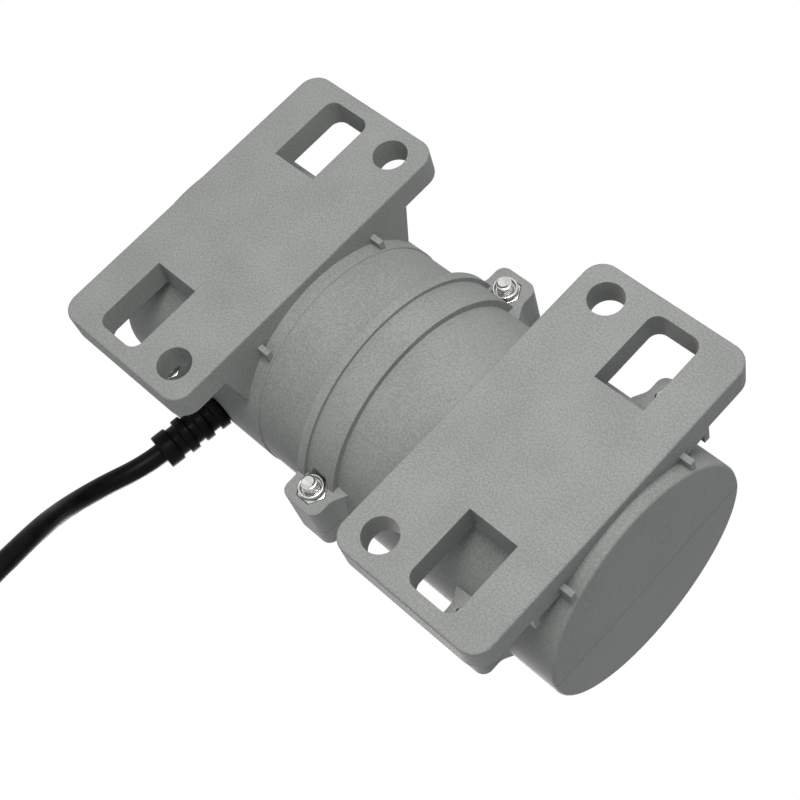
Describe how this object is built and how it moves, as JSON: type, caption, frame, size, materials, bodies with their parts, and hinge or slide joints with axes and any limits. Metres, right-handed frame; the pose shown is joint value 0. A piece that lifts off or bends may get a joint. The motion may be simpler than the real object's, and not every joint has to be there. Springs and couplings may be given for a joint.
{
  "type": "dc motor",
  "caption": "Grey clamshell vibration motor on two slotted feet, with eccentric weights on both ends of its shaft and a ribbed cord outlet.",
  "frame": {"origin": "middle of the mounting plane under the two feet", "axes": "+Z from the feet up through the body, +X along the shaft, +Y to the side where the cord leaves"},
  "size_m": [0.172, 0.2267, 0.0715],
  "materials": {
    "housing": "matte, finely mottled grey moulded surface",
    "seal_rubber": "matt black",
    "zinc_steel": "bright zinc plated",
    "can_steel": "drawn and plated",
    "dark_steel": "black oxide",
    "ferrite": "sintered and ground",
    "spring_steel": "plain spring steel",
    "bell_alloy": "die cast and turned",
    "bearing_steel": "ground and polished",
    "shaft_steel": "ground",
    "lamination_steel": "stacked sheet",
    "winding_copper": "enamelled wire",
    "dark_moulding": "dark moulding",
    "bar_copper": "turned copper",
    "weight_steel": "sawn and plated bar",
    "card_laminate": "brown laminate",
    "brass": "pressed sheet",
    "carbon": "pressed carbon",
    "red_insulation": "smooth insulation",
    "black_insulation": "smooth insulation",
    "black_rubber": "smooth black rubber"
  },
  "bodies": {
    "motor_frame": {"lower_shell": "housing", "drive_end_foot": "housing", "brush_end_foot": "housing", "drive_end_outer_webs": "housing", "brush_end_outer_webs": "housing", "upper_shell": "housing", "shell_seal": "seal_rubber", "mid_shell_bolts": "zinc_steel", "mid_shell_nuts": "zinc_steel", "mid_shell_washers": "zinc_steel", "outer_shell_bolts": "zinc_steel", "outer_shell_nuts": "zinc_steel", "outer_shell_washers": "zinc_steel", "motor_can": "can_steel", "can_screws": "dark_steel", "cord_side_magnet": "ferrite", "far_side_magnet": "ferrite", "magnet_clips": "spring_steel", "drive_end_bell": "bell_alloy", "brush_end_bell": "bell_alloy", "drive_bearing_outer_ring": "bearing_steel", "drive_bearing_balls": "bearing_steel", "brush_bearing_outer_ring": "bearing_steel", "brush_bearing_balls": "bearing_steel", "preload_washer": "spring_steel", "brush_card": "card_laminate", "brush_card_screws": "zinc_steel", "upper_brush_box": "brass", "lower_brush_box": "brass", "upper_brush_spring": "spring_steel", "lower_brush_spring": "spring_steel", "red_inner_lead": "red_insulation", "black_inner_lead": "black_insulation", "strain_relief": "black_rubber", "cord_crimp": "zinc_steel", "power_cord": "black_rubber", "power_cord_coil": "black_rubber", "power_cord_tail": "black_rubber", "cord_tie": "black_insulation", "red_cord_core": "red_insulation", "black_cord_core": "black_insulation"},
    "rotor": {"shaft": "shaft_steel", "retaining_rings": "dark_steel", "armature_core": "lamination_steel", "armature_winding": "winding_copper", "commutator_hub": "dark_moulding", "commutator_bars": "bar_copper", "drive_end_weight": "weight_steel", "brush_end_weight": "weight_steel", "weight_clamp_screws": "dark_steel", "drive_bearing_inner_ring": "bearing_steel", "brush_bearing_inner_ring": "bearing_steel"},
    "upper_brush_carrier": {"upper_brush": "carbon"},
    "lower_brush_carrier": {"lower_brush": "carbon"}
  },
  "joints": [
    {"name": "rotor_spin", "type": "hinge", "parent": "motor_frame", "child": "rotor", "pos_m": [0, 0, 0.036], "axis": [1, 0, 0], "continuous": true},
    {"name": "upper_brush_lift", "type": "slide", "parent": "motor_frame", "child": "upper_brush_carrier", "axis": [0, 0, 1], "range_m": [0, 0.002], "stiffness_N_per_m": 100, "springref_m": -0.004, "deforming": ["upper_brush_spring"]},
    {"name": "lower_brush_lift", "type": "slide", "parent": "motor_frame", "child": "lower_brush_carrier", "axis": [0, 0, -1], "range_m": [0, 0.002], "stiffness_N_per_m": 100, "springref_m": -0.004, "deforming": ["lower_brush_spring"]}
  ]
}
